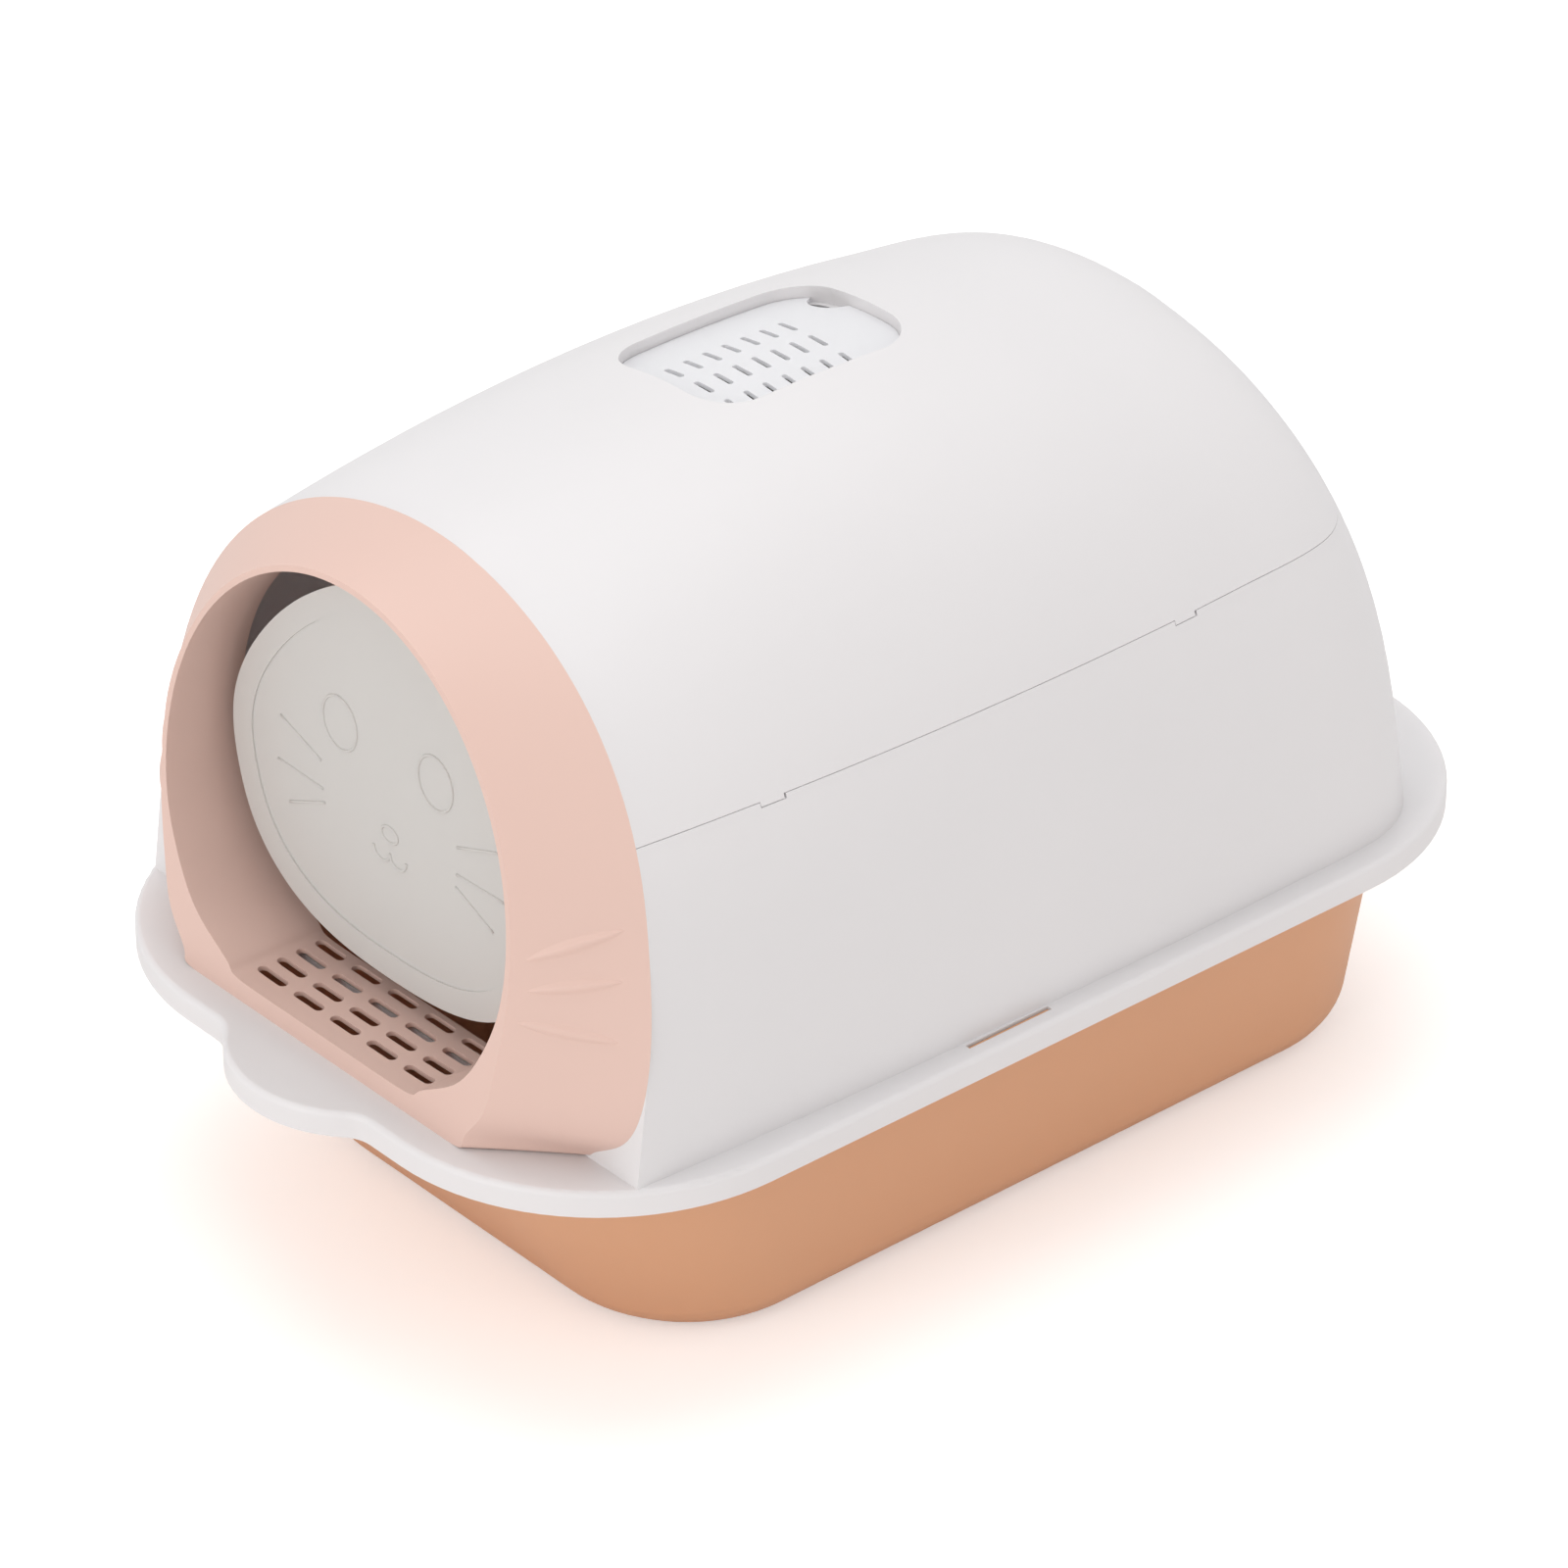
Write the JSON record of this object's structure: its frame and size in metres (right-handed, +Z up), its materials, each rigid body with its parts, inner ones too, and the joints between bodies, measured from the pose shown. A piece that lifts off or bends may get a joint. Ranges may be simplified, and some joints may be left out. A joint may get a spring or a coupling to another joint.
{
  "type": "covered litter box",
  "caption": "Hooded litter box: deep tapered pan, two-part arched hood, flared entrance with slotted step and swinging flap, and an odour filter in the crown.",
  "frame": {"origin": "on the floor, under the middle of the hood's rim", "axes": "+Z up, the entrance faces -Y, the box is mirrored about X = 0"},
  "size_m": [0.4, 0.643, 0.4099],
  "materials": {
    "pan_plastic": "fine satin moulded polypropylene",
    "hood_plastic": "satin moulded polypropylene",
    "frame_plastic": "satin moulded polypropylene",
    "frosted_plastic": "frosted translucent polypropylene",
    "steel_rod": "drawn rod",
    "clear_vent_plastic": "translucent polypropylene",
    "tray_plastic": "satin moulded polypropylene",
    "carbon_foam": "open-cell carbon foam"
  },
  "bodies": {
    "pan": {"litter_pan": "pan_plastic"},
    "hood": {"hood_base": "hood_plastic", "entry_frame": "frame_plastic", "door_axle": "steel_rod"},
    "top": {"hood_top": "hood_plastic", "filter_tray": "tray_plastic", "carbon_filter": "carbon_foam"},
    "flap": {"door_flap": "frosted_plastic"},
    "vent": {"vent_cover": "clear_vent_plastic"}
  },
  "joints": [
    {"name": "hood_lift", "type": "slide", "parent": "pan", "child": "hood", "axis": [0, 0, 1], "range_m": [0, 0.25]},
    {"name": "top_lift", "type": "slide", "parent": "hood", "child": "top", "axis": [0, 0.15, 0.9887], "range_m": [0, 0.2]},
    {"name": "flap_swing", "type": "hinge", "parent": "hood", "child": "flap", "pos_m": [0, -0.2488, 0.366], "axis": [1, 0, 0], "range_deg": [-50, 80]},
    {"name": "vent_lift", "type": "slide", "parent": "top", "child": "vent", "axis": [0, 0, 1], "range_m": [0, 0.06]}
  ]
}
